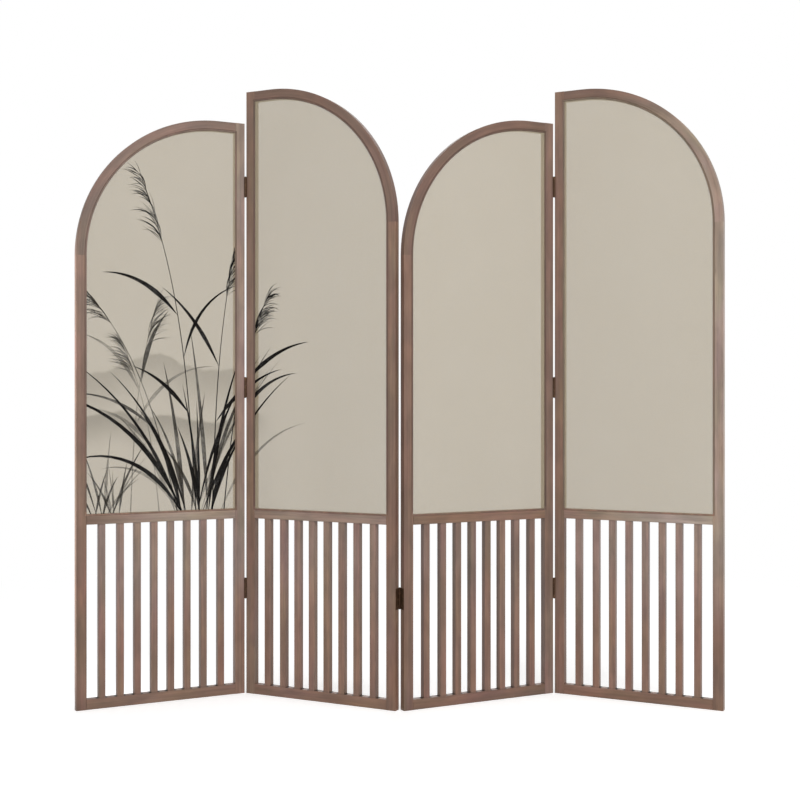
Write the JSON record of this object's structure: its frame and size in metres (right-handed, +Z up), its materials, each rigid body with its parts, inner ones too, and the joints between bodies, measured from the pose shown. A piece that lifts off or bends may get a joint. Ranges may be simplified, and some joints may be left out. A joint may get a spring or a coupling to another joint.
{
  "type": "folding screen",
  "caption": "Folding screen of hinged panels with quarter-round heads, stretched gauze fields over vertical slats and dark butt hinges.",
  "frame": {"origin": "on the floor, under the middle of the screen's bounding box as it stands", "axes": "+X along the screen to the right seen from the front, -Y towards the viewer at the front, +Z up"},
  "size_m": [1.8442, 0.2418, 1.8],
  "materials": {
    "frame_wood": "satin walnut stain",
    "bead_wood": "satin dark walnut stain",
    "gauze": "fine open weave",
    "bronze": "antique bronze"
  },
  "bodies": {
    "panel_1": {"panel_1_long_stile": "frame_wood", "panel_1_short_stile": "frame_wood", "panel_1_arched_rail": "frame_wood", "panel_1_mid_rail": "frame_wood", "panel_1_bottom_rail": "frame_wood", "panel_1_slats": "frame_wood", "panel_1_gauze": "gauze", "panel_1_bead": "bead_wood", "hinge_12_leaves_1": "bronze", "hinge_12_screws_1": "bronze"},
    "panel_2": {"panel_2_long_stile": "frame_wood", "panel_2_short_stile": "frame_wood", "panel_2_arched_rail": "frame_wood", "panel_2_mid_rail": "frame_wood", "panel_2_bottom_rail": "frame_wood", "panel_2_slats": "frame_wood", "panel_2_gauze": "gauze", "panel_2_bead": "bead_wood", "hinge_12_leaves_2": "bronze", "hinge_12_screws_2": "bronze", "hinge_12_pins": "bronze", "hinge_23_leaves_2": "bronze", "hinge_23_screws_2": "bronze", "hinge_23_pins": "bronze"},
    "panel_3": {"panel_3_long_stile": "frame_wood", "panel_3_short_stile": "frame_wood", "panel_3_arched_rail": "frame_wood", "panel_3_mid_rail": "frame_wood", "panel_3_bottom_rail": "frame_wood", "panel_3_slats": "frame_wood", "panel_3_gauze": "gauze", "panel_3_bead": "bead_wood", "hinge_23_leaves_3": "bronze", "hinge_23_screws_3": "bronze", "hinge_34_leaves_3": "bronze", "hinge_34_screws_3": "bronze", "hinge_34_pins": "bronze"},
    "panel_4": {"panel_4_long_stile": "frame_wood", "panel_4_short_stile": "frame_wood", "panel_4_arched_rail": "frame_wood", "panel_4_mid_rail": "frame_wood", "panel_4_bottom_rail": "frame_wood", "panel_4_slats": "frame_wood", "panel_4_gauze": "gauze", "panel_4_bead": "bead_wood", "hinge_34_leaves_4": "bronze", "hinge_34_screws_4": "bronze"}
  },
  "joints": [
    {"name": "fold_12", "type": "hinge", "parent": "panel_2", "child": "panel_1", "pos_m": [-0.46236, 0.09835, 0], "axis": [0, 0, 1], "range_deg": [-52.8, 127]},
    {"name": "fold_23", "type": "hinge", "parent": "panel_2", "child": "panel_3", "pos_m": [0, -0.09835, 0], "axis": [0, 0, 1], "range_deg": [-52.8, 127]},
    {"name": "fold_34", "type": "hinge", "parent": "panel_3", "child": "panel_4", "pos_m": [0.46236, 0.09835, 0], "axis": [0, 0, -1], "range_deg": [-52.8, 127]}
  ]
}
